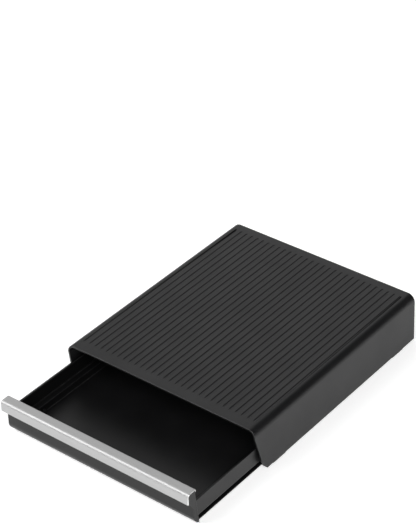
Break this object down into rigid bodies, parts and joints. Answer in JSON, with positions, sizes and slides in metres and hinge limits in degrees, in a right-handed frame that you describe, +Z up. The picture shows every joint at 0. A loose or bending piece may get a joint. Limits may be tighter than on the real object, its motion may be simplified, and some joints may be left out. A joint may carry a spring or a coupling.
{
  "type": "coffee pod drawer",
  "caption": "Low ribbed stand for a coffee machine with a sliding pod drawer below; the drawer front has a forward-hooked brushed metal handle strip.",
  "frame": {"origin": "middle of the footprint, strip front to cover rear, with the drawer drawn out 98 mm, on the surface that it stands on", "axes": "+X to the right seen from the front, +Y from the drawer front to the rear, +Z up"},
  "size_m": [0.279, 0.4332, 0.06],
  "materials": {
    "cover_plastic": "fine matte texture",
    "panel_plastic": "matte",
    "tray_plastic": "fine matte texture",
    "rail_plastic": "smooth",
    "runner_plastic": "smooth",
    "catch_plastic": "smooth",
    "strip_metal": "brushed along its length",
    "screw_steel": "zinc plated",
    "rivet_plastic": "smooth",
    "tape": "foam adhesive tape",
    "rubber": "matte"
  },
  "bodies": {
    "housing": {"housing_cover": "cover_plastic", "rear_panel": "panel_plastic", "rear_panel_screws": "screw_steel", "rail_left": "rail_plastic", "rail_right": "rail_plastic", "rail_screws": "screw_steel", "foot_front_left": "rubber", "foot_front_right": "rubber", "foot_rear_left": "rubber", "foot_rear_right": "rubber", "bumper_left": "rubber", "bumper_right": "rubber"},
    "drawer": {"drawer_tray": "tray_plastic", "handle_strip": "strip_metal", "strip_tape": "tape", "runner_left": "runner_plastic", "runner_right": "runner_plastic", "runner_rivets": "rivet_plastic", "catch_left": "catch_plastic", "catch_right": "catch_plastic"}
  },
  "joints": [
    {"name": "drawer_slide", "type": "slide", "parent": "housing", "child": "drawer", "axis": [0, -1, 0], "range_m": [-0.0995, 0.124]}
  ]
}
